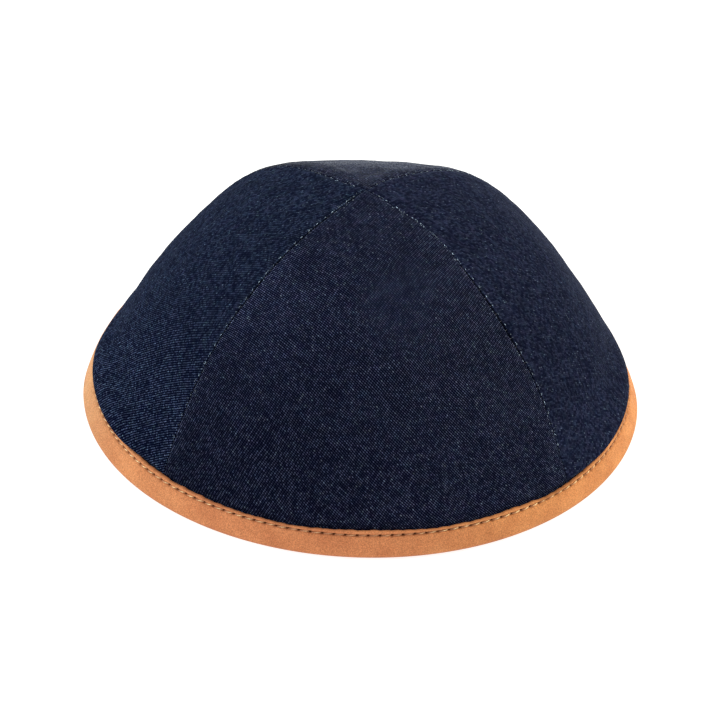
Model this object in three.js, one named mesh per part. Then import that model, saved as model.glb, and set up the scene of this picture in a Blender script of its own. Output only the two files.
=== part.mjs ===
// Kippah skullcap: four denim panels sewn into a low dome, with a leather binding folded over the rim.
// Millimetres and degrees, +Z up. The origin is the middle of the rim, on the surface that the cap rests on.
// The front panel faces -Y and +X is its right-hand side as seen from the front.

import * as THREE from "three";

// Overall sizes
const rimDiameter = 152;
const crownHeight = 64.8;

// Layers
const denimThickness = 1.4;
const leatherThickness = 1.0;
const layerGap = 0.3;

// Binding
const outerLegWidth = 8.6;
const innerLegWidth = 8.6;
const restPress = 0.25;

// Spaces between the panels, along the seams and round the crown point
const seamGap = 0.3;
const crownGap = 0.8;

// Slope of the seams from the horizontal, at the rim and at the crown point
const rimSlope = 77;
const crownSlope = 5.3;

// How far each slope carries into the curve: a share of the crown height, and a share of the rim radius
const rimReach = 0.76;
const crownReach = 0.46;

// The soft crown leans to the left at its top and bows to the right half way up
const crownLean = -0.7;
const sideBow = 0.9;

// Each panel runs from the seam at its own azimuth to the next panel's seam.
// Flattening is the share of its round bulge that a panel has lost at the crown; below zero it puffs out.
const panels = [
  { name: "panel_front", seamAzimuth: -135.4, flattening: -0.3 },
  { name: "panel_right", seamAzimuth: -45.4, flattening: 0.5 },
  { name: "panel_back", seamAzimuth: 49.3, flattening: 0.5 },
  { name: "panel_left", seamAzimuth: 132, flattening: 0.5 },
];

// Facets
const rowsUpPanel = 22;
const columnsAcrossPanel = 16;
const foldSteps = 5;

// Looks
const denimColour = 0x1f2539;
const leatherColour = 0xd8955f;

// Binding section: a fold of two legs round the lower edge of the denim
const foldRadius = denimThickness / 2 + layerGap + leatherThickness;
const foldInnerRadius = foldRadius - leatherThickness;
const foldMiddle = -denimThickness / 2;

// Curve of a seam in its upright plane, from the rim to the crown point
const rimAngle = THREE.MathUtils.degToRad(rimSlope);
const crownAngle = THREE.MathUtils.degToRad(crownSlope);
const foldCentreRise = foldRadius * Math.sin(rimAngle) + foldMiddle * Math.cos(rimAngle);
const rimLift = foldRadius - foldCentreRise - restPress;
const denimRimRadius = rimDiameter / 2
  + foldRadius * Math.cos(rimAngle) - (foldMiddle + foldRadius) * Math.sin(rimAngle);
const rimPoint = new THREE.Vector2(denimRimRadius, rimLift);
const crownPoint = new THREE.Vector2(0, crownHeight);
const rimPull = new THREE.Vector2(-Math.cos(rimAngle), Math.sin(rimAngle)).multiplyScalar(rimReach * crownHeight);
const crownPull = new THREE.Vector2(Math.cos(crownAngle), -Math.sin(crownAngle))
  .multiplyScalar(crownReach * denimRimRadius);
const seamCurve = new THREE.CubicBezierCurve(
  rimPoint,
  rimPoint.clone().add(rimPull),
  crownPoint.clone().add(crownPull),
  crownPoint,
);
const seamLength = seamCurve.getLength();

// Panel corners as angles
const seamAngles = panels.map((panel) => THREE.MathUtils.degToRad(panel.seamAzimuth));

function panelSpan(index) {
  const start = seamAngles[index];
  const end = index + 1 < panels.length ? seamAngles[index + 1] : seamAngles[0] + 2 * Math.PI;
  return { middle: (start + end) / 2, half: (end - start) / 2 };
}

// A point of the dome: height up the seam curve, angle from the panel's middle, distance out of the denim face
function domePoint(index, rise, angle, outward) {
  const share = THREE.MathUtils.clamp(rise / seamLength, 0, 1);
  const point = seamCurve.getPointAt(share);
  const along = seamCurve.getTangentAt(share);
  const radius = point.x + outward * along.y;
  const height = point.y - outward * along.x;
  const { middle, half } = panelSpan(index);
  const loss = panels[index].flattening * share * (2 - share);
  const ahead = radius * ((1 - loss) * Math.cos(angle) + loss * Math.cos(half));
  const aside = radius * Math.sin(angle);
  const lean = crownLean * share * share * (3 - 2 * share);
  const bow = sideBow * 4 * share * (1 - share);
  return new THREE.Vector3(
    ahead * Math.cos(middle) - aside * Math.sin(middle) + lean + bow,
    ahead * Math.sin(middle) + aside * Math.cos(middle),
    Math.max(height, 0),
  );
}

// A closed body through a list of loops with as many points each.
// Without a ring the first and last loops are closed by strips from their first half to their second.
function loftBody(loops, isRing) {
  const size = loops[0].length;
  const indices = [];
  const quad = (a, b, c, d) => indices.push(a, b, c, a, c, d);
  const bands = isRing ? loops.length : loops.length - 1;
  for (let row = 0; row < bands; row += 1) {
    const here = row * size;
    const next = ((row + 1) % loops.length) * size;
    for (let column = 0; column < size; column += 1) {
      const beside = (column + 1) % size;
      quad(here + column, here + beside, next + beside, next + column);
    }
  }
  if (!isRing) {
    const top = (loops.length - 1) * size;
    for (let column = 0; column < size / 2 - 1; column += 1) {
      const across = size - 1 - column;
      quad(column + 1, column, across, across - 1);
      quad(top + column, top + column + 1, top + across - 1, top + across);
    }
  }
  const geometry = new THREE.BufferGeometry();
  const positions = loops.flat().flatMap((point) => point.toArray());
  geometry.setAttribute("position", new THREE.Float32BufferAttribute(positions, 3));
  geometry.setIndex(indices);
  geometry.computeVertexNormals();
  return geometry;
}

// One denim gore: outer and inner faces from the binding's fold to just short of the crown point
function panelGeometry(index) {
  const { half } = panelSpan(index);
  const lowest = foldRadius;
  const highest = seamLength - crownGap;
  const loops = [];
  for (let row = 0; row <= rowsUpPanel; row += 1) {
    const rise = THREE.MathUtils.lerp(lowest, highest, row / rowsUpPanel);
    const radius = seamCurve.getPointAt(rise / seamLength).x;
    const reach = half - Math.asin(seamGap / 2 / radius);
    const outer = [];
    const inner = [];
    for (let column = 0; column <= columnsAcrossPanel; column += 1) {
      const angle = reach * (2 * column / columnsAcrossPanel - 1);
      outer.push(domePoint(index, rise, angle, 0));
      inner.push(domePoint(index, rise, angle, -denimThickness));
    }
    loops.push([...outer, ...inner.reverse()]);
  }
  return loftBody(loops, false);
}

// Section of the binding: x is the distance out of the denim face, y the height up the seam curve
function bindingSection() {
  const section = new THREE.Path();
  section.moveTo(foldMiddle + foldRadius, outerLegWidth);
  section.lineTo(foldMiddle + foldRadius, foldRadius);
  section.absarc(foldMiddle, foldRadius, foldRadius, 0, -Math.PI, true);
  section.lineTo(foldMiddle - foldRadius, innerLegWidth);
  section.lineTo(foldMiddle - foldInnerRadius, innerLegWidth);
  section.lineTo(foldMiddle - foldInnerRadius, foldRadius);
  section.absarc(foldMiddle, foldRadius, foldInnerRadius, -Math.PI, 0, false);
  section.lineTo(foldMiddle + foldInnerRadius, outerLegWidth);
  return section.getPoints(foldSteps);
}

// The binding follows all four panels once round the rim
function bindingGeometry() {
  const section = bindingSection();
  const loops = [];
  for (let index = 0; index < panels.length; index += 1) {
    const { half } = panelSpan(index);
    for (let column = 0; column < columnsAcrossPanel; column += 1) {
      const angle = half * (2 * column / columnsAcrossPanel - 1);
      loops.push(section.map((corner) => domePoint(index, corner.y, angle, corner.x)));
    }
  }
  return loftBody(loops, true);
}

const denim = new THREE.MeshStandardMaterial({ color: denimColour, roughness: 0.95, metalness: 0 });
const leather = new THREE.MeshStandardMaterial({ color: leatherColour, roughness: 0.8, metalness: 0 });

const kippah = new THREE.Group();
kippah.name = "kippah";

panels.forEach((panel, index) => {
  const mesh = new THREE.Mesh(panelGeometry(index), denim.clone());
  mesh.name = panel.name;
  kippah.add(mesh);
});

const binding = new THREE.Mesh(bindingGeometry(), leather);
binding.name = "rim_binding";
kippah.add(binding);

export default kippah;
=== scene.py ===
# Kippah skullcap: denim gores with their seams, and the stitched leather binding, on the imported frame.
# Shapes are worked out in millimetres and written in metres. +Z is up, the rim rests on z = 0 and
# the front panel faces -Y.

import math

import bpy
import numpy as np
from mathutils import Matrix, Vector


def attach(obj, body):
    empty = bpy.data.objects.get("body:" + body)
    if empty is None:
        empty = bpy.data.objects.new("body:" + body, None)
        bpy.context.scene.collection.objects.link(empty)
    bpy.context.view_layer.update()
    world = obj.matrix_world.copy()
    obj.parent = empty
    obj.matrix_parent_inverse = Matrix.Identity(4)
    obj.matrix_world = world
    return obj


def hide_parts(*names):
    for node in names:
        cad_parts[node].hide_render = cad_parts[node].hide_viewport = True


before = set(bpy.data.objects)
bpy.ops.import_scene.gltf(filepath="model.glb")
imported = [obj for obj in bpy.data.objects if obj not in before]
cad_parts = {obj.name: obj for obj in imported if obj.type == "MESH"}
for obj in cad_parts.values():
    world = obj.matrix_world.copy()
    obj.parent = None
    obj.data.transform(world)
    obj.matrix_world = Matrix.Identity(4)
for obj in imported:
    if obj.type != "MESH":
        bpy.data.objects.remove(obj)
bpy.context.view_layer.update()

MM = 0.001

# Dome sizes, as the solids have them
RIM_DIAMETER = 152.0
CROWN_HEIGHT = 64.8
DENIM_THICKNESS = 1.4
LEATHER_THICKNESS = 1.0
LAYER_GAP = 0.3
LEG_WIDTH = 8.6
REST_PRESS = 0.25
RIM_SLOPE = math.radians(77)
CROWN_SLOPE = math.radians(5.3)
RIM_REACH = 0.76
CROWN_REACH = 0.46
CROWN_LEAN = -0.7
SIDE_BOW = 0.9
PANEL_NAMES = ["front", "right", "back", "left"]
FRONT, RIGHT, BACK, LEFT = range(len(PANEL_NAMES))
SEAM_AZIMUTHS = np.radians([-135.4, -45.4, 49.3, 132.0])
FLATTENING = np.array([-0.3, 0.5, 0.5, 0.5])

PANEL_ENDS = np.append(SEAM_AZIMUTHS[1:], SEAM_AZIMUTHS[0] + 2 * math.pi)
PANEL_MIDDLES = (SEAM_AZIMUTHS + PANEL_ENDS) / 2
PANEL_HALVES = (PANEL_ENDS - SEAM_AZIMUTHS) / 2

FOLD_RADIUS = DENIM_THICKNESS / 2 + LAYER_GAP + LEATHER_THICKNESS
FOLD_MIDDLE = -DENIM_THICKNESS / 2
RIM_LIFT = FOLD_RADIUS * (1 - math.sin(RIM_SLOPE)) - FOLD_MIDDLE * math.cos(RIM_SLOPE) - REST_PRESS
RIM_RADIUS = (
    RIM_DIAMETER / 2
    + FOLD_RADIUS * math.cos(RIM_SLOPE)
    - (FOLD_MIDDLE + FOLD_RADIUS) * math.sin(RIM_SLOPE)
)

# Seam curve from the rim to the crown point: radius and height against the length along it
CURVE_STEPS = np.linspace(0, 1, 4001)[:, None]
CURVE_ENDS = np.array([[RIM_RADIUS, RIM_LIFT], [0.0, CROWN_HEIGHT]])
CURVE_PULLS = np.array([
    CURVE_ENDS[0] + RIM_REACH * CROWN_HEIGHT * np.array([-math.cos(RIM_SLOPE), math.sin(RIM_SLOPE)]),
    CURVE_ENDS[1] + CROWN_REACH * RIM_RADIUS * np.array([math.cos(CROWN_SLOPE), -math.sin(CROWN_SLOPE)]),
])
curve = (
    (1 - CURVE_STEPS) ** 3 * CURVE_ENDS[0]
    + 3 * (1 - CURVE_STEPS) ** 2 * CURVE_STEPS * CURVE_PULLS[0]
    + 3 * (1 - CURVE_STEPS) * CURVE_STEPS ** 2 * CURVE_PULLS[1]
    + CURVE_STEPS ** 3 * CURVE_ENDS[1]
)
curve_slopes = np.gradient(curve, axis=0)
curve_slopes /= np.linalg.norm(curve_slopes, axis=1)[:, None]
curve_lengths = np.append(0, np.cumsum(np.linalg.norm(np.diff(curve, axis=0), axis=1)))
SEAM_LENGTH = curve_lengths[-1]


def along_seam(rise):
    """Radius, height and slope of the seam curve at a length up from the rim."""
    values = [curve[:, 0], curve[:, 1], curve_slopes[:, 0], curve_slopes[:, 1]]
    return [np.interp(rise, curve_lengths, value) for value in values]


def dome_points(panel, rise, angle, outward):
    """Points in millimetres, from the length up the seam curve, the angle from the panel's middle and
    the distance out of the cloth."""
    panel, rise, angle, outward = np.broadcast_arrays(panel, rise, angle, outward)
    curve_radius, curve_height, slope_in, slope_up = along_seam(rise)
    radius = curve_radius + outward * slope_up
    height = curve_height - outward * slope_in
    share = np.clip(rise / SEAM_LENGTH, 0, 1)
    loss = FLATTENING[panel] * share * (2 - share)
    middle = PANEL_MIDDLES[panel]
    ahead = radius * ((1 - loss) * np.cos(angle) + loss * np.cos(PANEL_HALVES[panel]))
    aside = radius * np.sin(angle)
    shift = CROWN_LEAN * share ** 2 * (3 - 2 * share) + SIDE_BOW * 4 * share * (1 - share)
    x = ahead * np.cos(middle) - aside * np.sin(middle) + shift
    y = ahead * np.sin(middle) + aside * np.cos(middle)
    return np.stack([x, y, np.maximum(height, 0)], axis=-1)


def smooth(value, low, high):
    """0 below low, 1 above high and a smooth step between."""
    share = np.clip((value - low) / (high - low), 0, 1)
    return share ** 2 * (3 - 2 * share)


def from_heading(azimuth, heading):
    """Degrees between an azimuth in radians and a heading in degrees, from -180 to 180."""
    return (np.degrees(azimuth) - heading + 180) % 360 - 180


# Soft swellings and dents of the worn cap: azimuth, its spread, rise, its spread, distance outwards
SOFT_FORMS = [
    (140, 5, 48, 14, -0.30),
    (121, 7, 66, 16, 0.48),
    (87, 14, 69, 18, -0.55),
    (49, 4, 58, 14, -0.25),
    (22, 7, 40, 12, -0.25),
    (14, 7, 19, 6, 0.45),
    (14, 10, 0, 13, -0.80),
    (171, 5, 0, 12, -0.35),
    (156, 5, 0, 9, -0.20),
]


def form_shift(azimuth, rise):
    """How far the soft swellings and dents move the cap outwards."""
    total = 0
    for heading, spread, height, reach, amount in SOFT_FORMS:
        near = np.exp(-(from_heading(azimuth, heading) / spread) ** 2 / 2)
        total = total + amount * near * np.exp(-((rise - height) / reach) ** 2 / 2)
    return total


def cap_points(panel, rise, angle, outward):
    """Points of the dome in millimetres with its soft forms added."""
    panel, rise, angle, outward = np.broadcast_arrays(panel, rise, angle, outward)
    return dome_points(panel, rise, angle, outward + form_shift(PANEL_MIDDLES[panel] + angle, rise))


def soft_waves(x, y, wavelength, seed, count=16):
    """Seeded gentle waves over a surface, with a spread of about 1."""
    chance = np.random.default_rng(seed)
    total = 0
    for _ in range(count):
        heading = chance.uniform(0, 2 * math.pi)
        turn = 2 * math.pi / (wavelength * chance.uniform(0.7, 1.5))
        phase = chance.uniform(0, 2 * math.pi)
        total = total + np.sin(turn * (x * math.cos(heading) + y * math.sin(heading)) + phase)
    return total / math.sqrt(count / 2)


def add_mesh(name, points, faces, attributes, material):
    """A smooth-shaded mesh piece in metres, with one value of each attribute at every point."""
    mesh = bpy.data.meshes.new(name)
    mesh.from_pydata((np.asarray(points) * MM).tolist(), [], np.asarray(faces).tolist())
    for label, values in attributes.items():
        values = np.asarray(values, dtype=np.float32)
        kind, field = ("FLOAT", "value") if values.ndim == 1 else ("FLOAT_VECTOR", "vector")
        attribute = mesh.attributes.new(label, kind, "POINT")
        attribute.data.foreach_set(field, values.ravel())
    mesh.polygons.foreach_set("use_smooth", [True] * len(mesh.polygons))
    mesh.materials.append(material)
    mesh.validate()
    mesh.update()
    piece = bpy.data.objects.new(name, mesh)
    bpy.context.scene.collection.objects.link(piece)
    return piece


class NodeTree:
    """A new material and short ways to put nodes into it."""

    def __init__(self, name):
        self.material = bpy.data.materials.new(name)
        self.material.use_nodes = True
        self.nodes = self.material.node_tree.nodes
        self.links = self.material.node_tree.links
        self.shader = self.nodes["Principled BSDF"]

    def add(self, kind, inputs=None, **settings):
        node = self.nodes.new(kind)
        for label, value in settings.items():
            setattr(node, label, value)
        for label, value in (inputs or {}).items():
            self.feed(node.inputs[label], value)
        return node

    def feed(self, socket, value):
        if isinstance(value, bpy.types.NodeSocket):
            self.links.new(value, socket)
        else:
            socket.default_value = value

    def math(self, operation, *values):
        node = self.add("ShaderNodeMath", operation=operation)
        for index, value in enumerate(values):
            self.feed(node.inputs[index], value)
        return node.outputs[0]

    def vector(self, operation, *values):
        node = self.add("ShaderNodeVectorMath", operation=operation)
        for index, value in enumerate(values):
            self.feed(node.inputs[index], value)
        return node.outputs[0]

    def attribute(self, label, output="Fac"):
        return self.add("ShaderNodeAttribute", attribute_name=label).outputs[output]

    def noise(self, place, scale, detail=2.0, output=0):
        inputs = {"Vector": place, "Scale": scale, "Detail": detail}
        return self.add("ShaderNodeTexNoise", inputs).outputs[output]

    def chance(self, x, y):
        """A number from 0 to 1 that is the cell's own."""
        place = self.add("ShaderNodeCombineXYZ", {"X": x, "Y": y}).outputs[0]
        node = self.add("ShaderNodeTexWhiteNoise", {"Vector": place}, noise_dimensions="2D")
        return node.outputs["Value"]

    def spread(self, value, low, high, to_low, to_high):
        inputs = {"Value": value, "From Min": low, "From Max": high, "To Min": to_low, "To Max": to_high}
        return self.add("ShaderNodeMapRange", inputs).outputs[0]

    def mix(self, share, first, second):
        node = self.add("ShaderNodeMix", data_type="RGBA")
        self.feed(node.inputs[0], share)
        self.feed(node.inputs[6], first)
        self.feed(node.inputs[7], second)
        return node.outputs[2]

    def scaled(self, colour, amount):
        node = self.add("ShaderNodeVectorMath", operation="SCALE")
        self.feed(node.inputs[0], colour)
        self.feed(node.inputs["Scale"], amount)
        return node.outputs[0]

    def dash(self, aside, along):
        """A short dash in the middle of a cell that runs from -0.5 to 0.5 both ways."""
        width = self.math("DIVIDE", aside, DOT_HALF_WIDTH)
        crest = self.math("MAXIMUM", self.math("SUBTRACT", 1.0, self.math("MULTIPLY", width, width)), 0.0)
        taper = self.math("MULTIPLY", self.math("MULTIPLY", along, along), DASH_TAPER)
        return self.math("MULTIPLY", crest, self.math("SUBTRACT", 1.0, taper))

    def bump(self, height, distance, strength=1.0):
        inputs = {"Height": height, "Distance": distance, "Strength": strength}
        return self.add("ShaderNodeBump", inputs).outputs[0]


# Denim: a 2/1 twill whose pale dots line up in two slanting families, in the flat millimetres of "grain"
WARP_PITCH = 0.262
WEFT_PITCH = 0.488
TWILL_REPEAT = 3.0
DOT_HALF_WIDTH = 0.26
DOT_MEAN = 0.25
DASH_TAPER = 3.4
YARN_DRIFT = 1.2
YARN_QUIVER = 0.07
WALE_SLIDE = 0.16
WALES_PER_SLIDE = 5.0
SLUB_START = 0.945
SLUB_BRIGHTNESS = 1.9
SPECK_DEPTH = 0.34
WORN_GAIN = 1.6
CLOTH_DARK = (0.0006, 0.0012, 0.0080)
CLOTH_PALE = (0.0385, 0.0460, 0.0780)
CLOTH_SLUB = (0.0400, 0.0520, 0.0640)
HUE_SPREAD = (0.60, 0.30, 0.35)
HUE_START = (0.70, 0.85, 0.825)
REVERSE_DARK = (0.040, 0.046, 0.070)
REVERSE_PALE = (0.150, 0.160, 0.180)
FUZZ_STRETCH = (1.0, 0.22, 1.0)
FUZZ_FALL = 2.6


def denim_material(name, tint, sheen, rim_sheen, sheen_tint):
    """Twill with a paler reverse. Its fuzz is a sheen, with more of it where the cloth is seen edge on."""
    tree = NodeTree(name)
    grain = tree.attribute("grain", "Vector")

    # The yarns drift slowly and quiver
    drift = tree.vector("SUBTRACT", tree.noise(grain, 0.07, 1.0, 1), (0.5, 0.5, 0.5))
    quiver = tree.vector("SUBTRACT", tree.noise(grain, 1.3, 1.0, 1), (0.5, 0.5, 0.5))
    place = tree.vector("ADD", grain, tree.scaled(drift, YARN_DRIFT))
    place = tree.vector("ADD", place, tree.scaled(quiver, YARN_QUIVER))
    split = tree.add("ShaderNodeSeparateXYZ", {"Vector": place})
    warp = tree.math("DIVIDE", split.outputs[0], WARP_PITCH)
    weft = tree.math("DIVIDE", split.outputs[1], WEFT_PITCH)

    # Cells between the ribs, which slant one way, and the wales, which slant the other way
    rib = tree.math("DIVIDE", tree.math("ADD", warp, tree.math("MULTIPLY", weft, 2.0)), TWILL_REPEAT)
    wale = tree.math("DIVIDE", tree.math("SUBTRACT", weft, warp), TWILL_REPEAT)
    rib_number = tree.math("FLOOR", rib)
    over_rib = tree.math("SUBTRACT", tree.math("FRACT", rib), 0.5)
    slide = tree.chance(rib_number, tree.math("FLOOR", tree.math("DIVIDE", wale, WALES_PER_SLIDE)))
    wale = tree.math("ADD", wale, tree.math("MULTIPLY", slide, WALE_SLIDE))
    wale_number = tree.math("FLOOR", wale)
    over_wale = tree.math("SUBTRACT", tree.math("FRACT", wale), 0.5)
    luck = tree.chance(rib_number, wale_number)
    second_luck = tree.chance(tree.math("ADD", rib_number, 371.5), wale_number)

    # One pale dash in each cell, between the direction of the ribs and that of the wales
    along_ribs = tree.dash(over_rib, over_wale)
    along_wales = tree.dash(over_wale, over_rib)
    difference = tree.math("SUBTRACT", along_wales, along_ribs)
    dot = tree.math("MULTIPLY_ADD", difference, tree.attribute("wale_share"), along_ribs)
    from_mean = tree.math("SUBTRACT", dot, DOT_MEAN)
    even_dot = tree.math("MULTIPLY_ADD", from_mean, tree.attribute("order"), DOT_MEAN)
    even_dot = tree.math("MAXIMUM", even_dot, 0.0)

    # Each dash has its own brightness, a few are slubs, and the warp yarns are streaky
    uneven = tree.attribute("uneven")
    luck = tree.math("SUBTRACT", tree.math("POWER", luck, 1.5), 0.4)
    brightness = tree.math("MULTIPLY_ADD", luck, tree.math("MULTIPLY_ADD", uneven, 0.65, 1.1), 1.0)
    slub = tree.math("MULTIPLY", dot, tree.spread(second_luck, SLUB_START, 1.0, 0.0, SLUB_BRIGHTNESS))
    streak_place = tree.add("ShaderNodeCombineXYZ", {
        "X": tree.math("MULTIPLY", tree.math("FLOOR", warp), 7.31),
        "Y": tree.math("MULTIPLY", split.outputs[1], 0.22),
    }).outputs[0]
    streak = tree.spread(tree.noise(streak_place, 1.0, 1.0), 0.3, 0.7, 0.80, 1.20)

    # Mottling: clouds some millimetres wide, heather under a millimetre and specks
    clouds = tree.spread(tree.noise(grain, 0.16, 3.0), 0.3, 0.7, 0.86, 1.14)
    heather = tree.spread(tree.noise(grain, 0.85, 3.0), 0.3, 0.7, 0.86, 1.14)
    specks = tree.spread(tree.noise(grain, 3.2, 2.0), 0.3, 0.7, -SPECK_DEPTH, SPECK_DEPTH)
    specks = tree.math("MULTIPLY_ADD", specks, uneven, 1.0)
    heather = tree.math("MULTIPLY", heather, specks)
    worn = tree.spread(tree.attribute("worn"), 0.0, 2.0, 1.0, 1.0 + 2.0 * WORN_GAIN)

    amount = tree.math("MULTIPLY", even_dot, tree.math("MULTIPLY", brightness, streak))
    amount = tree.math("MULTIPLY", amount, tree.math("MULTIPLY", heather, worn))
    colour = tree.vector("ADD", tree.scaled(CLOTH_PALE, amount), CLOTH_DARK)
    colour = tree.vector("ADD", colour, tree.scaled(CLOTH_SLUB, slub))
    colour = tree.scaled(colour, tree.math("MULTIPLY", clouds, tree.attribute("tone")))
    hues = tree.vector("MULTIPLY_ADD", tree.noise(grain, 0.45, 2.0, 1), HUE_SPREAD, HUE_START)
    colour = tree.vector("MULTIPLY", colour, hues)
    reverse = tree.vector("ADD", tree.scaled(REVERSE_PALE, even_dot), REVERSE_DARK)
    colour = tree.mix(tree.attribute("reverse"), tree.vector("MULTIPLY", colour, tint), reverse)
    tree.feed(tree.shader.inputs["Base Color"], colour)

    nap = tree.noise(grain, 9.0, 2.0)
    relief = tree.math("ADD", dot, tree.math("MULTIPLY", nap, 0.5))
    tree.feed(tree.shader.inputs["Normal"], tree.bump(relief, 0.00009, 0.8))
    tree.shader.inputs["Roughness"].default_value = 0.85
    tree.shader.inputs["Specular IOR Level"].default_value = 0.0

    # Fuzz in strands that run up the panel
    grazing = tree.add("ShaderNodeLayerWeight", {"Blend": 0.5}).outputs["Facing"]
    grazing = tree.math("POWER", tree.spread(grazing, 0.45, 1.0, 0.0, 1.0), FUZZ_FALL)
    strands = tree.vector("MULTIPLY", grain, FUZZ_STRETCH)
    fuzz = tree.spread(tree.noise(strands, 2.2, 2.0), 0.34, 0.66, 0.2, 1.8)
    fuzzy = tree.math("MULTIPLY", tree.math("MULTIPLY", grazing, tree.attribute("tone")), fuzz)
    tree.feed(tree.shader.inputs["Sheen Weight"], tree.math("MULTIPLY_ADD", fuzzy, rim_sheen, sheen))
    tree.shader.inputs["Sheen Roughness"].default_value = 0.35
    tree.shader.inputs["Sheen Tint"].default_value = sheen_tint
    return tree.material


# Leather: its colours, and its tinted places round the rim as heading, full up to, ends at, and tint
LEATHER_DEEP = (0.50, 0.186, 0.074, 1)
LEATHER_LIGHT = (0.61, 0.248, 0.100, 1)
LEATHER_PATCH = (0.46, 0.155, 0.058, 1)
# Near-black painted shade for the needle holes and the stitch groove
LEATHER_STITCH_SHADE = (0.050, 0.015, 0.007, 1)
# Dark brown of the burnished upper edge, also used as painted shade low on the fold
LEATHER_BURNISH_AND_SHADE = (0.36, 0.115, 0.045, 1)
LEATHER_PLACES = {
    "fair": (178, 6, 38, (0.97, 1.20, 1.32)),
    "ruddy": (-105, 12, 36, (0.985, 0.93, 0.97)),
    "golden": (-30, 22, 52, (1.02, 1.055, 0.965)),
}


def leather_material():
    tree = NodeTree("tan_suede_leather")
    place = tree.scaled(tree.add("ShaderNodeTexCoord").outputs["Object"], 1.0 / MM)
    cloudy = tree.noise(place, 0.14, 3.0)
    patchy = tree.noise(place, 0.9, 3.0)
    speckle = tree.noise(place, 3.2, 2.0)
    colour = tree.mix(tree.spread(cloudy, 0.3, 0.7, 0.0, 1.0), LEATHER_DEEP, LEATHER_LIGHT)
    colour = tree.mix(tree.spread(patchy, 0.45, 0.75, 0.0, 0.40), colour, LEATHER_PATCH)
    colour = tree.scaled(colour, tree.spread(speckle, 0.3, 0.7, 0.70, 1.30))
    for label, (_, _, _, tint) in LEATHER_PLACES.items():
        colour = tree.mix(tree.attribute(label), colour, tree.vector("MULTIPLY", colour, tint))
    # Painted shade in the needle holes and along the stitch groove
    colour = tree.mix(tree.math("MULTIPLY", tree.attribute("painted_stitch_shade"), 0.92), colour, LEATHER_STITCH_SHADE)
    # Burnished upper edge, and painted shade where the fold nears the floor
    colour = tree.mix(tree.math("MULTIPLY", tree.attribute("burnish_and_floor_shade"), 0.45), colour, LEATHER_BURNISH_AND_SHADE)
    tree.feed(tree.shader.inputs["Base Color"], colour)
    pores = tree.add("ShaderNodeTexVoronoi", {"Vector": place, "Scale": 2.6}, feature="DISTANCE_TO_EDGE")
    creases = tree.spread(pores.outputs["Distance"], 0.0, 0.16, 0.0, 1.0)
    nap = tree.noise(place, 11.0, 3.0)
    relief = tree.math("ADD", tree.math("MULTIPLY", creases, 0.35), nap)
    tree.feed(tree.shader.inputs["Normal"], tree.bump(relief, 0.00006, 0.7))
    tree.feed(tree.shader.inputs["Roughness"], tree.spread(patchy, 0.3, 0.7, 0.62, 0.80))
    tree.shader.inputs["Specular IOR Level"].default_value = 0.08
    tree.shader.inputs["Sheen Weight"].default_value = 0.03
    tree.shader.inputs["Sheen Roughness"].default_value = 0.5
    tree.shader.inputs["Sheen Tint"].default_value = (1.0, 0.75, 0.55, 1)
    return tree.material


def thread_material(name, dark, light, nap_scale):
    """Plain yarn that mottles between two colours."""
    tree = NodeTree(name)
    place = tree.scaled(tree.add("ShaderNodeTexCoord").outputs["Object"], 1.0 / MM)
    shade = tree.spread(tree.noise(place, nap_scale, 3.0), 0.3, 0.7, 0.0, 1.0)
    colour = tree.mix(shade, dark, light)
    tree.feed(tree.shader.inputs["Base Color"], tree.scaled(colour, tree.attribute("brightness")))
    tree.feed(tree.shader.inputs["Normal"], tree.bump(tree.noise(place, 18.0, 2.0), 0.00004, 0.8))
    tree.shader.inputs["Roughness"].default_value = 0.6
    tree.shader.inputs["Sheen Weight"].default_value = 0.15
    return tree.material


# Topstitching thread: its tan painted shade, and its cream where a glint is painted
THREAD_SHADE_TAN = (0.42, 0.155, 0.066, 1)
THREAD_GLINT_CREAM = (1.0, 0.74, 0.38, 1)


def topstitch_material():
    """Cream thread in tan painted shade, with a painted glint where the brightness attribute is high."""
    tree = NodeTree("cream_thread")
    place = tree.scaled(tree.add("ShaderNodeTexCoord").outputs["Object"], 1.0 / MM)
    colour = tree.mix(tree.attribute("brightness"), THREAD_SHADE_TAN, THREAD_GLINT_CREAM)
    shade = tree.spread(tree.noise(place, 4.0, 3.0), 0.3, 0.7, 0.85, 1.15)
    tree.feed(tree.shader.inputs["Base Color"], tree.scaled(colour, shade))
    tree.feed(tree.shader.inputs["Normal"], tree.bump(tree.noise(place, 18.0, 2.0), 0.00004, 0.8))
    tree.shader.inputs["Roughness"].default_value = 0.6
    tree.shader.inputs["Sheen Weight"].default_value = 0.1
    return tree.material


# Seams: how far each seam wanders sideways from its straight line, against the length up from the rim
WANDER_RISES = [8, 18, 28, 38, 50, 60, 70, 80, 90, 100, 107]
SEAM_WANDER = [
    [-0.5, -0.4, -0.2, -0.1, 0.1, 0.45, 0.4, 0.25, 0.35, 0.3, 0],
    [1.4, 0.8, 0.3, -0.2, -1.15, -1.0, -0.4, 0.95, 1.35, 0.4, 0],
    [0, 0, 0, 0, -0.2, -0.4, -0.6, -0.6, -0.2, 0.9, 0],
    [0, 0, 0, 0, 0, 0, 0.1, 0.2, 1.1, 1.6, 0],
]
SEAM_GAP = 0.16
SEAM_ROUND = 0.52
SEAM_DEPTH = 0.44
ALLOWANCE_WIDTH = 6.5
ALLOWANCE_THICKNESS = 0.7


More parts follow.
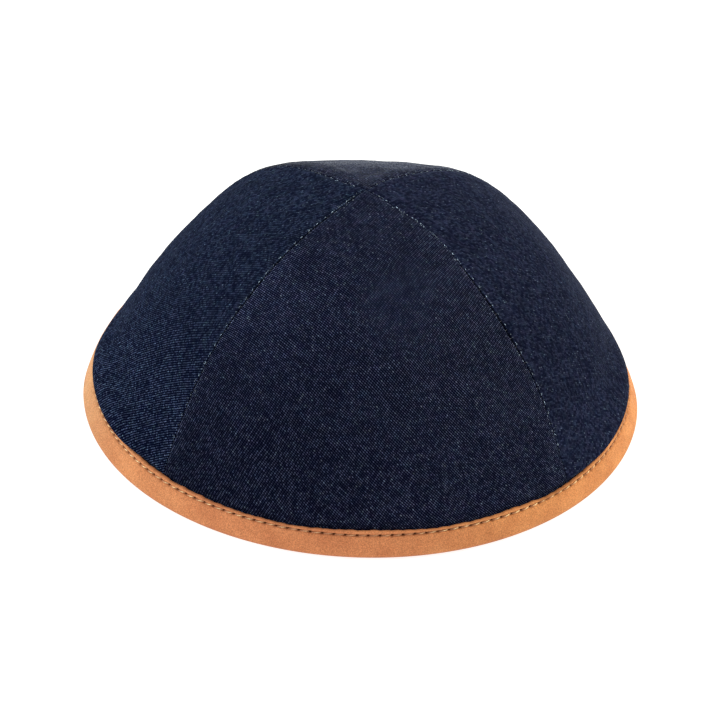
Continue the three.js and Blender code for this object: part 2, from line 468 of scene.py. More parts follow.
def wander(seam, rise):
    """Sideways distance of a seam at each rise, as a smooth curve through its knots."""
    knots = np.array(SEAM_WANDER[seam], dtype=float)
    spaced = np.linspace(0, SEAM_LENGTH, 400)
    rough = np.interp(spaced, WANDER_RISES, knots)
    kernel = np.hanning(25)
    padded = np.pad(rough, 12, mode="edge")
    even = np.convolve(padded, kernel / kernel.sum(), mode="valid")
    end = 1 - smooth(spaced, SEAM_LENGTH - 5, SEAM_LENGTH - 1)
    return np.interp(rise, spaced, even * end)


def turned_edge(distance):
    """How far the cloth has turned down into the seam, at a distance from the seam line."""
    inward = np.clip(1 - distance / SEAM_ROUND, 0, 1)
    return SEAM_DEPTH * (1 - np.sqrt(1 - inward ** 2))


# Cloth lattice: straight yarns run over the dome as great circles square to the panel's middle line
GRAIN_CENTRE_HEIGHT = -11.0
GRAIN_TURNS = np.radians([0.0, 0.0, 0.0, 6.0])


def cloth_grain(panel, rise, angle):
    """Flat place in the cloth, in millimetres: across the panel and up it."""
    centre = np.array([0, 0, GRAIN_CENTRE_HEIGHT])
    middle = PANEL_MIDDLES[panel]
    ahead = np.array([math.cos(middle), math.sin(middle), 0])
    aside = np.array([-math.sin(middle), math.cos(middle), 0])
    line = dome_points(panel, np.linspace(0, SEAM_LENGTH, 1500), 0.0, 0.0) - centre
    line_lean = np.arctan2(line[:, 2], line @ ahead)
    line_length = np.append(0, np.cumsum(np.linalg.norm(np.diff(line, axis=0), axis=1)))
    offset = dome_points(panel, rise, angle, 0.0) - centre
    distance = np.linalg.norm(offset, axis=-1)
    lean = np.arctan2(offset[..., 2], offset @ ahead)
    up = np.interp(lean, line_lean, line_length)
    up = up + np.maximum(lean - line_lean[-1], 0) * distance
    across = distance * np.arcsin(np.clip(offset @ aside / distance, -1, 1))
    turn = GRAIN_TURNS[panel]
    return across * math.cos(turn) - up * math.sin(turn), across * math.sin(turn) + up * math.cos(turn)


# Denim panels
LIP_RISE = 7.2
LIP_TOP = 14.0
PANEL_COLUMNS = 160
EDGE_CROWDING = 3.6
CROWN_STOP = 0.25
SLACK = [0.20, 0.10, 0.05, 0.10]
WALE_SHARES = [0.21, 0.40, 0.40, 0.82]
PANEL_UNEVEN = [0.30, 0.75, 0.90, 0.95]


def side_puff(azimuth):
    """How far the cloth puffs out over the binding, round the rim."""
    right = 1 - smooth(np.abs(from_heading(azimuth, -14)), 14, 44)
    left = 1 - smooth(np.abs(from_heading(azimuth, 191)), 14, 35.5)
    back = 1 - smooth(np.abs(from_heading(azimuth, 90)), 60, 90)
    return np.maximum(np.maximum(1.55 * right, 2.1 * left), 0.5 * back)


def panel_rows():
    """Rises of the cloth's rows, close together where it comes out of the binding."""
    hidden = np.linspace(FOLD_RADIUS, LIP_RISE, 6, endpoint=False)
    lip = np.linspace(LIP_RISE, LIP_TOP, 34, endpoint=False)
    open_cloth = np.linspace(LIP_TOP, SEAM_LENGTH - CROWN_STOP, 104)
    return np.concatenate([hidden, lip, open_cloth])


def panel_relief(panel, rise, edge, across, up):
    """Distance out of the smooth dome: turned seam edges, allowance ridges, puckers and slack."""
    ridge = smooth(edge, 0.5, 1.8) - smooth(edge, ALLOWANCE_WIDTH - 1.2, ALLOWANCE_WIDTH + 1.4)
    pucker_place = 2 * math.pi * rise / 3.3 + 1.4 * soft_waves(rise, edge, 16, 40 + panel)
    pucker = np.sin(pucker_place) * np.exp(-edge / 2.6) * smooth(edge, 0.1, 0.9)
    slack = SLACK[panel] * soft_waves(across, up, 30, 10 + panel)
    slack = slack + 0.05 * soft_waves(across, up, 11, 20 + panel)
    slack = slack + 0.018 * soft_waves(across, up, 4.5, 30 + panel)
    free = smooth(rise, 9, 20) * smooth(edge, 0.5, 7)
    free = free * (1 - smooth(rise, SEAM_LENGTH - 16, SEAM_LENGTH - 4))
    swell = 0.34 * np.exp(-((rise - 11.6) / 2.6) ** 2)
    tucked = -0.16 * np.exp(-((rise - 8.4) / 0.9) ** 2)
    bound = smooth(rise, 8.0, 9.2)
    return (
        -turned_edge(edge)
        + 0.16 * ridge * bound
        + 0.07 * pucker * bound
        + slack * free
        + (swell * bound + tucked) * smooth(edge, 0, 1.0)
    )


def weave_order(panel, rise, across):
    """How clearly the weave shows: 0 for felted cloth, 1 for a crisp twill."""
    if panel == FRONT:
        fine = smooth(across, -5, 22) * smooth(rise, 32, 50)
        low = 1 - smooth(rise, 18, 36)
        return (1.35 + 0.45 * fine) * (1 - 0.60 * smooth(rise, 70, 92)) * (1 - 0.20 * low)
    if panel == LEFT:
        return 0.35 + 0.90 * smooth(across, -22, 14) * (1 - 0.9 * smooth(rise, 24, 56))
    return np.full_like(across, 0.15 if panel == RIGHT else 0.5)


def cloth_tone(panel, rise, across):
    """Brightness over each panel, scaling its colour and its grazing sheen: 1 is the panel's own shade."""
    if panel == FRONT:
        left = 1 - smooth(across, -20, 15)
        low = 1 - smooth(rise, 32, 54)
        band = np.exp(-((rise - 68) / 12) ** 2)
        shoulder = smooth(-across, 14, 24) * smooth(rise, 46, 58) * (1 - smooth(rise, 74, 86))
        middle = np.exp(-((across + 10) / 11) ** 2 - ((rise - 54) / 12) ** 2)
        fine = smooth(across, -5, 22) * smooth(rise, 32, 50) * (1 - smooth(rise, 66, 84))
        corner = smooth(-across, 28, 44) * (1 - smooth(rise, 16, 26))
        foot = smooth(across, -10, 10) * (1 - smooth(rise, 18, 36))
        darker = 0.20 * left * low + 0.12 * middle + 0.12 * fine + 0.08 * corner
        lighter = 0.08 * band + 0.20 * shoulder + 0.05 * foot
        return 1 + lighter - darker
    if panel == LEFT:
        return 1.0 - 0.09 * smooth(rise, 18, 42)
    if panel == BACK:
        # On the back, colour and grazing sheen fall off near the crown and towards one side: painted shade
        # that shapes the lit strip
        return (1.0 - 0.15 * smooth(rise, 80, 104)) * (1 - 0.45 * smooth(across, 5, 26))
    upper = smooth(-across, 5, 30) * smooth(rise, 40, 70)
    lower = smooth(-across, 18, 32) * (1 - smooth(rise, 16, 30))
    return 0.94 + 0.10 * upper + 0.20 * lower


def wale_part(panel, rise, across):
    """Share of the pale dots that line up as wales, where the others line up as ribs."""
    if panel != FRONT:
        return np.full_like(across, WALE_SHARES[panel])
    corner = smooth(-across, 2, 30) * (1 - smooth(rise, 26, 48))
    return WALE_SHARES[panel] - 0.08 * smooth(across, 0, 24) + 0.36 * corner


def yarn_unevenness(panel, rise, across):
    """How much the pale dots differ in brightness."""
    if panel == FRONT:
        return PANEL_UNEVEN[panel] - 0.22 * smooth(across, -14, 12) + 0.60 * (1 - smooth(rise, 20, 38))
    if panel == LEFT:
        return PANEL_UNEVEN[panel] + 0.50 * (1 - smooth(rise, 20, 40))
    return np.full_like(across, PANEL_UNEVEN[panel])


def edge_wear(panel, rise, edge, across):
    """Paling along the turned edges of the cloth, and along a fold beside the front's left seam."""
    wear = np.exp(-((edge - 0.30) / 0.15) ** 2)
    wear = wear * (0.25 + 0.75 * smooth(soft_waves(rise, edge, 3, 60 + panel), -0.3, 1.2))
    if panel == FRONT:
        fold = 1.5 * np.exp(-((edge - 0.36) / 0.20) ** 2) + 0.18 * np.exp(-((edge - 1.9) / 1.1) ** 2)
        low = smooth(rise, 9, 14) * (1 - smooth(rise, 28, 44))
        wear = np.maximum(wear, fold * (across < 0) * low)
    return wear


def build_panel(panel, material):
    """One gore: its outer and inner faces, closed round the edge."""
    rows = panel_rows()[:, None]
    steps = np.linspace(-1, 1, PANEL_COLUMNS + 1)[None, :]
    inside = 1 - np.abs(steps)
    crowded = (np.exp(EDGE_CROWDING * inside) - 1) / (math.exp(EDGE_CROWDING) - 1)
    radius = along_seam(rows)[0]
    next_seam = (panel + 1) % len(PANEL_NAMES)
    start = -PANEL_HALVES[panel] + (wander(panel, rows) + SEAM_GAP / 2) / radius
    end = PANEL_HALVES[panel] + (wander(next_seam, rows) - SEAM_GAP / 2) / radius
    angle = (start + end) / 2 + (end - start) / 2 * np.sign(steps) * (1 - crowded)
    edge = (end - start) / 2 * radius * crowded
    rise = rows + 0 * edge
    across, up = cloth_grain(panel, rise, angle)
    relief = panel_relief(panel, rise, edge, across, up)
    allowance = ALLOWANCE_THICKNESS * (1 - smooth(edge, ALLOWANCE_WIDTH - 0.3, ALLOWANCE_WIDTH + 0.3))
    allowance = allowance * smooth(rise, 9.5, 12.5) * (1 - smooth(rise, SEAM_LENGTH - 9, SEAM_LENGTH - 4))
    puff = side_puff(PANEL_MIDDLES[panel] + angle)
    relief = relief + puff * smooth(rise, 8.05, 9.5) * (1 - smooth(rise, 9.5, 23)) ** 2
    hang = 0.45 * puff * smooth(rise, 8.1, 9.0) * (1 - smooth(rise, 9.0, 13))
    outer = cap_points(panel, rise - hang, angle, relief)
    inner = cap_points(panel, rise, angle, relief - DENIM_THICKNESS - allowance)

    grid = np.arange(outer.shape[0] * outer.shape[1]).reshape(outer.shape[:2])
    count = grid.size
    corners = [grid[:-1, :-1], grid[:-1, 1:], grid[1:, 1:], grid[1:, :-1]]
    face = np.stack([corner.ravel() for corner in corners], axis=1)
    back = face[:, ::-1] + count
    rim = np.concatenate([grid[0, :], grid[1:, -1], grid[-1, -2::-1], grid[-2:0:-1, 0]])
    following = np.roll(rim, -1)
    wall = np.stack([rim, rim + count, following + count, following], axis=1)
    points = np.concatenate([outer.reshape(-1, 3), inner.reshape(-1, 3)])
    flat = np.stack([across.ravel(), up.ravel(), np.zeros(count)], axis=1)
    looks = {
        "wale_share": wale_part(panel, rise, across),
        "order": weave_order(panel, rise, across),
        "tone": cloth_tone(panel, rise, across),
        "uneven": yarn_unevenness(panel, rise, across),
    }
    attributes = {label: np.tile(values.ravel(), 2) for label, values in looks.items()}
    wear = edge_wear(panel, rise, edge, across).ravel()
    attributes["worn"] = np.concatenate([wear, np.zeros(count)])
    attributes["grain"] = np.concatenate([flat, flat])
    attributes["reverse"] = np.concatenate([np.zeros(count), np.ones(count)])
    faces = np.concatenate([face, back, wall])
    piece = add_mesh(f"denim_{PANEL_NAMES[panel]}", points, faces, attributes, material)
    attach(piece, "root")
    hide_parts(f"panel_{PANEL_NAMES[panel]}")
    return piece


# Binding and its topstitching
STITCH_PITCH = 3.0
TOP_RISE = 8.1
STITCH_RISE = 7.05
HOLE_DEPTH = 0.70
HOLE_SIZE = 0.32
HOLE_LENGTH = 0.46
GROOVE_DEPTH = 0.30
GROOVE_WIDTH = 0.42
LOOP_SHARES = np.array([0.0, 0.06, 0.13, 0.22, 0.50, 0.78, 0.87, 0.94])


def rim_table():
    """Length round the rim against the panel number and share of the panel, as one running number."""
    running = np.linspace(0, len(PANEL_NAMES), 3201)
    panel = np.minimum(running.astype(int), len(PANEL_NAMES) - 1)
    angle = PANEL_HALVES[panel] * (2 * (running - panel) - 1)
    points = dome_points(panel, STITCH_RISE, angle, 1.1)
    return running, np.append(0, np.cumsum(np.linalg.norm(np.diff(points, axis=0), axis=1)))


RIM_RUNNING, RIM_LENGTHS = rim_table()
RIM_LENGTH = RIM_LENGTHS[-1]
STITCH_COUNT = round(RIM_LENGTH / STITCH_PITCH)


def rim_place(length):
    """Panel number and angle at a length round the rim."""
    running = np.interp(np.mod(length, RIM_LENGTH), RIM_LENGTHS, RIM_RUNNING)
    panel = np.minimum(running.astype(int), len(PANEL_NAMES) - 1)
    return panel, PANEL_HALVES[panel] * (2 * (running - panel) - 1)


def hole_lengths():
    chance = np.random.default_rng(7)
    even = np.arange(STITCH_COUNT) * RIM_LENGTH / STITCH_COUNT
    return even + chance.uniform(-0.12, 0.12, STITCH_COUNT)


HOLES = hole_lengths()
HOLE_STEPS = np.diff(np.append(HOLES, HOLES[0] + RIM_LENGTH))


def rim_waves(length, wavelength, seed):
    """Gentle waves that close on themselves round the rim."""
    turn = 2 * math.pi * np.asarray(length) / RIM_LENGTH
    around = RIM_LENGTH / (2 * math.pi)
    return soft_waves(around * np.cos(turn), around * np.sin(turn), wavelength, seed)


def binding_top(length):
    """Height of the binding's upper edge, measured up the cloth."""
    return TOP_RISE + 0.14 * rim_waves(length, 45, 81) + 0.07 * rim_waves(length, 6, 82)


def stitch_line(length):
    """Height of the topstitching, measured up the cloth."""
    return STITCH_RISE + 0.07 * rim_waves(length, 60, 83)


def sewn_dent(offset, to_hole):
    """How far the topstitching draws the leather in: a groove, deeper at each needle hole."""
    groove = GROOVE_DEPTH * np.exp(-(offset / GROOVE_WIDTH) ** 2)
    return groove + HOLE_DEPTH * np.exp(-(offset / HOLE_SIZE) ** 2 - (to_hole / HOLE_LENGTH) ** 2)


def build_binding(material):
    """The leather strip, as one closed ring of sections with rows close together at each needle hole."""
    length = (HOLES[:, None] + HOLE_STEPS[:, None] * LOOP_SHARES[None, :]).ravel()
    to_hole = (HOLE_STEPS[:, None] * np.minimum(LOOP_SHARES, 1 - LOOP_SHARES)[None, :]).ravel()
    panel, angle = rim_place(length)
    top = binding_top(length) + 0.03 - 0.12 * np.exp(-(to_hole / 0.7) ** 2)
    line = stitch_line(length)

    # Outer face from the upper edge down: distance below the edge and distance out of the cloth
    outer_drop = np.array([0.03, 0.0, 0.05, 0.15, 0.28, 0.42])
    outer_reach = np.array([0.16, 0.45, 0.78, 1.02, 1.17, 1.24])
    # Round the stitch line: distance above it
    stitch_rows = np.array([0.50, 0.33, 0.20, 0.10, 0.0, -0.10, -0.20, -0.33, -0.50, -0.85])
    stitch_reach = np.array([1.26, 1.24, 1.22, 1.21, 1.20, 1.20, 1.20, 1.21, 1.24, 1.31])
    body_rows = np.array([5.5, 4.7, 3.9, 3.2, 2.6])
    body_reach = np.array([1.36, 1.40, 1.41, 1.37, 1.32])
    fold = np.linspace(0, -math.pi, 15)
    inner_rows = np.array([2.8, 4.2, 5.6, 6.3])
    inner_drop = np.array([0.60, 0.25, 0.0])
    inner_round = np.array([0.0, 0.1, 0.3])

    rises = [top - drop for drop in outer_drop]
    reaches = [reach + 0 * top for reach in outer_reach]
    for offset, reach in zip(stitch_rows, stitch_reach):
        rises.append(line + offset)
        reaches.append(reach - sewn_dent(offset, to_hole))
    for row, reach in zip(body_rows, body_reach):
        rises.append(row + 0 * top)
        reaches.append(reach + 0.05 * rim_waves(length, 22, 84) + 0.02 * rim_waves(length, 5, 85))
    for turn in fold:
        rises.append(FOLD_RADIUS + FOLD_RADIUS * math.sin(turn) + 0 * top)
        reaches.append(FOLD_MIDDLE + FOLD_RADIUS * math.cos(turn) + 0 * top)
    for row in inner_rows:
        rises.append(row + 0 * top)
        reaches.append(FOLD_MIDDLE - FOLD_RADIUS + 0 * top)
    for offset in -stitch_rows[::-1]:
        rises.append(line + offset)
        reaches.append(FOLD_MIDDLE - FOLD_RADIUS + sewn_dent(offset, to_hole))
    for drop, rounding in zip(inner_drop, inner_round):
        rises.append(LEG_WIDTH - drop + 0 * top)
        reaches.append(FOLD_MIDDLE - FOLD_RADIUS + rounding + 0 * top)
    inner_radius = FOLD_RADIUS - LEATHER_THICKNESS
    rises.append(LEG_WIDTH - 0.1 + 0 * top)
    reaches.append(FOLD_MIDDLE - inner_radius - 0.1 + 0 * top)
    for turn in np.linspace(-math.pi, 0, 7):
        rises.append(FOLD_RADIUS + inner_radius * math.sin(turn) + 0 * top)
        reaches.append(FOLD_MIDDLE + inner_radius * math.cos(turn) + 0 * top)
    rises.append(LEG_WIDTH - 2.0 + 0 * top)
    reaches.append(0.30 + 0 * top)

    rises = np.stack(rises, axis=1)
    reaches = np.stack(reaches, axis=1)
    points = cap_points(panel[:, None], rises, angle[:, None], reaches)
    size = points.shape[1]
    loops = points.shape[0]
    grid = np.arange(loops * size).reshape(loops, size)
    beside = np.roll(grid, -1, axis=1)
    following = np.roll(grid, -1, axis=0)
    diagonal = np.roll(beside, -1, axis=0)
    faces = np.stack([grid.ravel(), beside.ravel(), diagonal.ravel(), following.ravel()], axis=1)
    from_line = rises - line[:, None]
    # Painted shade: dark in each needle hole and faint along the stitch groove
    painted_stitch_shade = np.exp(-(from_line / 0.30) ** 2 - (to_hole[:, None] / 0.50) ** 2)
    painted_stitch_shade = painted_stitch_shade + 0.26 * np.exp(-(from_line / 0.26) ** 2)
    attributes = {}
    for label, (heading, full, end, _) in LEATHER_PLACES.items():
        near = 1 - smooth(np.abs(from_heading(PANEL_MIDDLES[panel] + angle, heading)), full, end)
        attributes[label] = np.repeat(near, size)
    fair = attributes["fair"].reshape(loops, size)
    burnish_and_floor_shade = (1 - smooth(np.abs(rises - top[:, None]), 0.02, 0.25)) * (1 - 0.7 * fair)
    # Painted shade: darker where the fold comes down to the floor
    burnish_and_floor_shade = burnish_and_floor_shade + 0.55 * (1 - smooth(points[..., 2], 0.2, 1.5))
    attributes["painted_stitch_shade"] = np.clip(painted_stitch_shade, 0, 1).ravel()
    attributes["burnish_and_floor_shade"] = np.clip(burnish_and_floor_shade, 0, 1).ravel()
    piece = add_mesh("binding_strip", points.reshape(-1, 3), faces, attributes, material)
    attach(piece, "root")
    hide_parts("rim_binding")
    return piece


def tube_faces(tubes, rings, sides):
    """Quads of many separate open tubes, whose points run tube by tube and ring by ring."""
    grid = np.arange(tubes * rings * sides).reshape(tubes, rings, sides)
    beside = np.roll(grid, -1, axis=2)
    corners = [grid[:, :-1], beside[:, :-1], beside[:, 1:], grid[:, 1:]]
    return np.stack([corner.ravel() for corner in corners], axis=1)


def thread_points(centre, radius, sides, strands, twist_radius, twist_pitch, seed):
    """Twisted strands round centre lines: centre is tubes x rings x 3 in millimetres."""
    tangent = np.gradient(centre, axis=1)
    tangent /= np.linalg.norm(tangent, axis=-1, keepdims=True)
    aside = np.cross(tangent, np.array([0.0, 0.0, 1.0]))
    aside /= np.linalg.norm(aside, axis=-1, keepdims=True)
    above = np.cross(aside, tangent)
    steps = np.linalg.norm(np.diff(centre, axis=1), axis=-1)
    run = np.concatenate([np.zeros((len(centre), 1)), np.cumsum(steps, axis=1)], axis=1)
    phase = np.random.default_rng(seed).uniform(0, 2 * math.pi, len(centre))
    result = []
    for strand in range(strands):
        turn = 2 * math.pi * (run / twist_pitch + strand / strands) + phase[:, None]
        middle = centre + twist_radius * (np.cos(turn)[..., None] * aside + np.sin(turn)[..., None] * above)
        around = np.linspace(0, 2 * math.pi, sides, endpoint=False)
        ring = np.cos(around)[:, None] * aside[:, :, None, :]
        ring = ring + np.sin(around)[:, None] * above[:, :, None, :]
        result.append(middle[:, :, None, :] + radius * ring)
    return np.stack(result, axis=1)


def thread_glint(azimuth):
    """Strength of the painted glint on the topstitch round the rim: little at the front and on the right.
    """
    front = 1 - smooth(np.abs(from_heading(azimuth, -92)), 5, 22)
    right = 1 - smooth(np.abs(from_heading(azimuth, -5)), 18, 36)
    return 1 - 0.70 * np.maximum(front, right)


def build_topstitch(material):
    """Cream thread through both legs of the binding, as it shows outside and inside."""
    rings = 15
    sides = 6
    strands = 2
    share = np.linspace(0, 1, rings)
    chance = np.random.default_rng(11)
    parts = []
    shades = []
    for reach, outwards in ((1.20, 1), (FOLD_MIDDLE - FOLD_RADIUS, -1)):
        begin = 0.34
        along = HOLES[:, None] + begin + share[None, :] * (HOLE_STEPS[:, None] - 2 * begin)
        slant = 0.15 * outwards
        rise = stitch_line(along) + slant * (2 * share[None, :] - 1)
        rise = rise + chance.uniform(-0.03, 0.03, (STITCH_COUNT, 1))
        crest = np.sin(math.pi * share) ** 0.6
        lift = -0.55 + crest[None, :] * (0.40 + chance.uniform(-0.07, 0.07, (STITCH_COUNT, 1)))
        panel, angle = rim_place(along)
        centre = cap_points(panel, rise, angle, reach + outwards * lift)
        parts.append(thread_points(centre, 0.088, sides, strands, 0.066, 1.1, 12 + outwards))
        middle = (PANEL_MIDDLES[panel] + angle)[:, rings // 2, None]
        # Painted glint along each stitch, strongest on the front right; elsewhere the thread keeps its tan
        # painted shade
        glint = chance.uniform(0.60, 1.05, (STITCH_COUNT, 1))
        glint = glint * np.exp(-((share[None, :] - 0.64) / 0.25) ** 2)
        glint = glint * thread_glint(middle) + chance.uniform(0.0, 0.12, (STITCH_COUNT, 1))
        glint = glint * (1 + 0.35 * np.exp(-(from_heading(middle, -52) / 22) ** 2))
        shades.append(np.broadcast_to(glint[:, None, :, None], (STITCH_COUNT, strands, rings, sides)))
    points = np.concatenate(parts)
    tubes = points.shape[0] * strands
    brightness = np.concatenate(shades).ravel()
    piece = add_mesh("binding_topstitch", points.reshape(-1, 3), tube_faces(tubes, rings, sides),
        {"brightness": brightness}, material)
    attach(piece, "root")
    return piece


def seam_place(seam, rise, sideways):
    """Panel number and angle at a distance to the side of a seam."""
    radius = np.maximum(along_seam(rise)[0], 1.0)
    before = (seam - 1) % len(PANEL_NAMES)
    panel = np.where(sideways < 0, before, seam)
    start = np.where(sideways < 0, PANEL_HALVES[before], -PANEL_HALVES[seam])
    return panel, start + (wander(seam, rise) + sideways) / radius


def build_seam_threads(material):
    """Short sewing stitches that cross the bottom of each seam."""
    rings = 9
    sides = 5
    chance = np.random.default_rng(21)
    centres = []
    for seam in range(len(PANEL_NAMES)):
        rises = np.arange(10.0, SEAM_LENGTH - 3, 2.5)
        rises = rises + chance.uniform(-0.15, 0.15, len(rises))
        sideways = np.linspace(-0.55, 0.55, rings)
        rise = rises[:, None] + 0.25 * sideways[None, :]
        panel, angle = seam_place(seam, rise, sideways[None, :] + 0 * rise)
        lift = -turned_edge(np.abs(sideways)) * 0.55 - 0.20
        centres.append(cap_points(panel, rise, angle, lift[None, :]))
    centre = np.concatenate(centres)
    points = thread_points(centre, 0.09, sides, 1, 0.0, 1.0, 22)
    brightness = np.repeat(chance.uniform(0.7, 1.2, len(centre)), rings * sides)
    piece = add_mesh("seam_threads", points.reshape(-1, 3), tube_faces(len(centre), rings, sides),
        {"brightness": brightness}, material)
    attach(piece, "root")
    return piece


def fleck_points(seam, rise, sideways, heading, length, radius):
    """Thin closed specks of pale yarn that lie on the cloth beside a seam."""
    rings = 6
    sides = 5
    share = np.linspace(-1, 1, rings)
    girth = np.sqrt(np.clip(1 - share ** 2 * 0.97, 0, 1))
    around = np.linspace(0, 2 * math.pi, sides, endpoint=False)
    step_aside = np.cos(heading)[:, None] * length[:, None] * share
    step_up = np.sin(heading)[:, None] * length[:, None] * share
    ring_aside = -np.sin(heading)[:, None, None] * radius[:, None, None] * girth[:, None] * np.cos(around)
    ring_up = np.cos(heading)[:, None, None] * radius[:, None, None] * girth[:, None] * np.cos(around)
    ring_out = radius[:, None, None] * girth[:, None] * np.sin(around)
    place = sideways[:, None, None] + step_aside[:, :, None] + ring_aside
    height = rise[:, None, None] + step_up[:, :, None] + ring_up
    panel, angle = seam_place(seam, height, place)
    return cap_points(panel, height, angle, -turned_edge(np.abs(place)) + 0.02 + ring_out)


SEAM_STITCH_PITCH = 2.9
SEAM_STITCH_SIDES = [-1, 1, -1, 1]


def fleck_share(seam, rise, back_loss):
    """Share of brightness that flecks keep: less on the back's left seam and low on the front's left."""
    back_left = (seam == LEFT) * (rise < 91)
    front_left = (seam == FRONT) * (rise < 34)
    return (1 - back_loss * back_left) * (1 - 0.6 * front_left)


def build_seam_flecks(material):
    """Pale specks along the seams: stitches that show on the lip, and weft ends scattered beside it."""
    chance = np.random.default_rng(31)
    parts = []
    brightness = []
    for seam in range(len(PANEL_NAMES)):
        rise = np.arange(10.5, SEAM_LENGTH - 2.5, SEAM_STITCH_PITCH)
        count = len(rise)
        rise = rise + chance.normal(0, 0.22, count)
        sideways = SEAM_STITCH_SIDES[seam] * chance.normal(0.36, 0.05, count)
        heading = chance.normal(math.pi / 2, 0.35, count)
        length = chance.uniform(0.18, 0.38, count)
        radius = chance.uniform(0.065, 0.10, count)
        parts.append(fleck_points(seam, rise, sideways, heading, length, radius))
        shade = np.where(chance.uniform(0, 1, count) < 0.3, 0.25, chance.uniform(0.45, 1.0, count))
        brightness.append(shade * fleck_share(seam, rise, 0.8))
        count = 110
        rise = chance.uniform(9.5, SEAM_LENGTH - 1.5, count)
        side = np.where(chance.uniform(0, 1, count) < 0.35, -1, 1) * SEAM_STITCH_SIDES[seam]
        sideways = side * (0.30 + chance.gamma(1.3, 0.22, count)).clip(0.12, 1.8)
        heading = chance.normal(math.pi / 2, 0.8, count)
        length = chance.uniform(0.07, 0.22, count)
        radius = chance.uniform(0.035, 0.065, count)
        parts.append(fleck_points(seam, rise, sideways, heading, length, radius))
        shade = 0.20 + 0.8 * chance.beta(1.3, 2.0, count)
        brightness.append(shade * fleck_share(seam, rise, 0.6))
    points = np.concatenate(parts)
    tubes, rings, sides = points.shape[:3]
    piece = add_mesh("seam_flecks", points.reshape(-1, 3), tube_faces(tubes, rings, sides),
        {"brightness": np.repeat(np.concatenate(brightness), rings * sides)}, material)
    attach(piece, "root")
    return piece


# Shades of the four panels, their sheen all over and at grazing angles, and the yarns
# The back panel's tint of 1.10 lightens its colour all over: painted light for the back light on its strip
# over the crown
PANEL_TINTS_AND_PAINTED_LIGHT = [(0.99, 0.97, 0.98), (0.90, 0.93, 1.02), (1.10, 1.10, 1.10), (0.91, 1.05, 1.08)]
PANEL_SHEENS = [0.02, 0.02, 0.045, 0.015]
PANEL_RIM_SHEENS = [0.06, 0.10, 0.29, 0.03]
NAVY_SHEEN = (0.70, 0.78, 1.0, 1)
PANEL_SHEEN_TINTS = [NAVY_SHEEN, NAVY_SHEEN, (0.84, 0.88, 1.0, 1), NAVY_SHEEN]
NAVY_THREAD = [(0.008, 0.010, 0.022, 1), (0.020, 0.024, 0.046, 1)]
WEFT_YARN = [(0.36, 0.50, 0.68, 1), (0.64, 0.82, 1.0, 1)]

for number, panel_name in enumerate(PANEL_NAMES):
    denim = denim_material(f"denim_{panel_name}", PANEL_TINTS_AND_PAINTED_LIGHT[number], PANEL_SHEENS[number],
        PANEL_RIM_SHEENS[number], PANEL_SHEEN_TINTS[number])
    build_panel(number, denim)
build_binding(leather_material())
build_topstitch(topstitch_material())
build_seam_threads(thread_material("navy_thread", *NAVY_THREAD, 4.0))
build_seam_flecks(thread_material("weft_ends", *WEFT_YARN, 3.0))

# Floor: white paper that glows a little
FLOOR_REACH = 4
FLOOR_GREY = (0.40, 0.40, 0.40, 1)
FLOOR_GLOW = 0.80
floor_corners = [(FLOOR_REACH * x, FLOOR_REACH * y, 0) for x, y in ((-1, -1), (1, -1), (1, 1), (-1, 1))]
floor_mesh = bpy.data.meshes.new("floor")
floor_mesh.from_pydata(floor_corners, [], [(0, 1, 2, 3)])
floor_tree = NodeTree("floor_paper")
floor_tree.shader.inputs["Base Color"].default_value = FLOOR_GREY
floor_tree.shader.inputs["Emission Color"].default_value = (1.0, 1.0, 1.0, 1)
floor_tree.shader.inputs["Emission Strength"].default_value = FLOOR_GLOW
floor_tree.shader.inputs["Roughness"].default_value = 0.9
floor_tree.shader.inputs["Specular IOR Level"].default_value = 0.1
floor_mesh.materials.append(floor_tree.material)
floor = bpy.data.objects.new("floor", floor_mesh)
bpy.context.scene.collection.objects.link(floor)

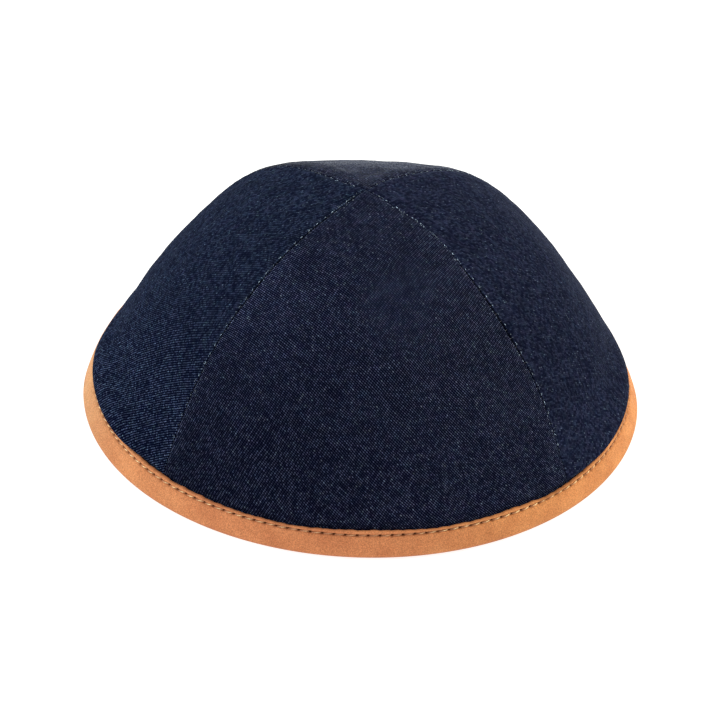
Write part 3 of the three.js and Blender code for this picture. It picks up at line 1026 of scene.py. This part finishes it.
# Light: an even sky, and softboxes as name, place, width and height, watts and colour
SKY_STRENGTH = 0.72
SOFTBOXES = [
    ("softbox_right", (1.1, 0.25, 0.75), (0.9, 0.9), 15, (1.0, 0.97, 0.74)),
    ("softbox_back", (-0.1, 1.4, 0.5), (1.5, 0.5), 16, (1.0, 1.0, 1.0)),
    ("softbox_left", (-1.2, -0.1, 0.8), (0.8, 0.8), 12, (0.90, 1.0, 1.02)),
]
world = bpy.data.worlds.new("studio")
world.use_nodes = True
world.node_tree.nodes["Background"].inputs["Color"].default_value = (1.0, 1.0, 1.0, 1)
world.node_tree.nodes["Background"].inputs["Strength"].default_value = SKY_STRENGTH
bpy.context.scene.world = world


def add_softbox(name, place, size, power, colour):
    light = bpy.data.lights.new(name, "AREA")
    light.shape = "RECTANGLE"
    light.size = size[0]
    light.size_y = size[1]
    light.energy = power
    light.color = colour
    box = bpy.data.objects.new(name, light)
    box.location = place
    box.rotation_euler = (-Vector(place)).to_track_quat("-Z", "Y").to_euler()
    bpy.context.scene.collection.objects.link(box)


for softbox in SOFTBOXES:
    add_softbox(*softbox)

bpy.context.scene.view_settings.view_transform = "Standard"

# Camera: 912 mm from the middle of the rim, 34 degrees up, rolled a little
CAMERA_DISTANCE = 0.912
CAMERA_RISE = math.radians(33.98)
CAMERA_TURN = math.radians(-2.051)
CAMERA_ROLL = math.radians(2.235)
CAMERA_LENS = 166.44
CAMERA_AIM = (-0.00016, 0.00906)
toward = Vector((
    math.sin(CAMERA_TURN) * math.cos(CAMERA_RISE),
    -math.cos(CAMERA_TURN) * math.cos(CAMERA_RISE),
    math.sin(CAMERA_RISE),
))
level = Vector((math.cos(CAMERA_TURN), math.sin(CAMERA_TURN), 0))
upright = toward.cross(level)
rolled = level * math.cos(CAMERA_ROLL) + upright * math.sin(CAMERA_ROLL)
rolled_up = upright * math.cos(CAMERA_ROLL) - level * math.sin(CAMERA_ROLL)
place = toward * CAMERA_DISTANCE
target = rolled * CAMERA_AIM[0] + rolled_up * CAMERA_AIM[1]
axis_back = (place - target).normalized()
axis_right = rolled_up.cross(axis_back).normalized()
axis_up = axis_back.cross(axis_right)
camera_data = bpy.data.cameras.new("camera")
camera_data.lens = CAMERA_LENS
camera_data.sensor_width = 36.0
camera = bpy.data.objects.new("camera", camera_data)
camera_axes = Matrix((axis_right, axis_up, axis_back)).transposed().to_4x4()
camera.matrix_world = Matrix.Translation(place) @ camera_axes
bpy.context.scene.collection.objects.link(camera)
bpy.context.scene.camera = camera

bpy.context.view_layer.update()
